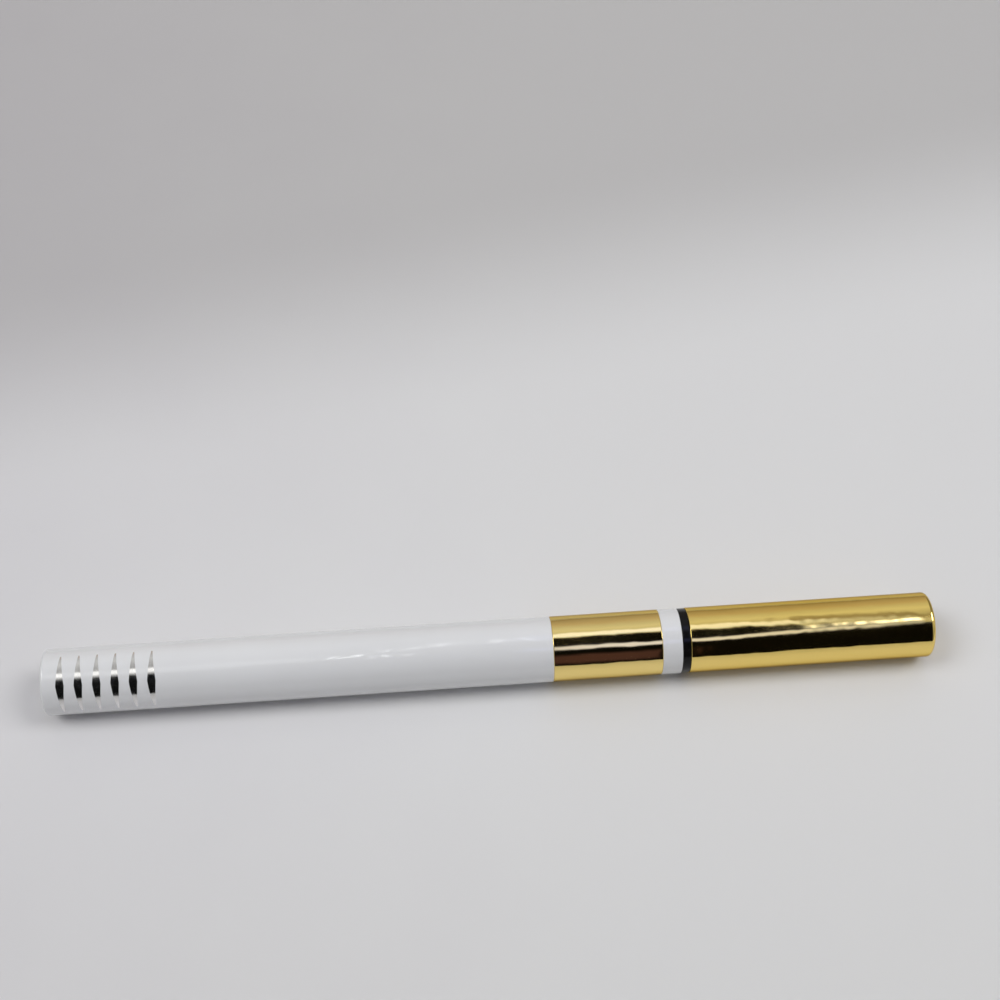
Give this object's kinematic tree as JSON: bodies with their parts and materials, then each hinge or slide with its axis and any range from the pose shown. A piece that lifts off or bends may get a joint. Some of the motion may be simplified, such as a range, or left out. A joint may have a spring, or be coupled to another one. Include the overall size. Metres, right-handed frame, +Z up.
{
  "type": "liquid eyeliner pen",
  "caption": "Slim round liquid eyeliner pen lying on its side: white barrel, gold band, white collar, black ring and a pull-off gold cap over a black nib holder and felt tip.",
  "frame": {"origin": "on the table under the middle of the capped pen", "axes": "+X along the pen towards the end of the cap, +Z up"},
  "size_m": [0.135, 0.01, 0.01],
  "materials": {
    "white_gloss": "gloss lacquer",
    "gold_metal": "polished gold",
    "tank_plastic": "translucent",
    "gasket_rubber": "soft",
    "collector_plastic": "moulded",
    "feed_fibre": "fibre bundle",
    "black_plastic": "satin",
    "sleeve_plastic": "satin",
    "felt": "inked felt",
    "black_rubber": "smooth",
    "liner_plastic": "moulded",
    "inner_cap_plastic": "natural",
    "spring_steel": "drawn wire",
    "ball_steel": "polished"
  },
  "bodies": {
    "pen": {"barrel": "white_gloss", "tail_plug": "white_gloss", "gold_band": "gold_metal", "front_collar": "white_gloss", "ink_tank": "tank_plastic", "tank_gasket": "gasket_rubber", "collector": "collector_plastic", "feed_core": "feed_fibre", "section": "black_plastic", "nib_sleeve": "sleeve_plastic", "felt_nib": "felt"},
    "ring": {"seal_ring": "black_rubber"},
    "cap": {"cap_shell": "gold_metal", "cap_liner": "liner_plastic", "inner_cap_spring": "spring_steel"},
    "sealing_cup": {"inner_cap": "inner_cap_plastic"},
    "ball": {"mixing_ball": "ball_steel"}
  },
  "joints": [
    {"name": "cap_twist", "type": "hinge", "parent": "pen", "child": "ring", "pos_m": [0, 0, 0.005], "axis": [1, 0, 0], "continuous": true},
    {"name": "cap_pull", "type": "slide", "parent": "ring", "child": "cap", "axis": [1, 0, 0], "range_m": [0, 0.045]},
    {"name": "cup_push", "type": "slide", "parent": "cap", "child": "sealing_cup", "axis": [1, 0, 0], "range_m": [0, 0.001], "stiffness_N_per_m": 300, "springref_m": -0.002, "deforming": ["inner_cap_spring"]},
    {"name": "ball_roll", "type": "slide", "parent": "pen", "child": "ball", "axis": [1, 0, 0], "range_m": [-0.0244, 0.0238]}
  ]
}
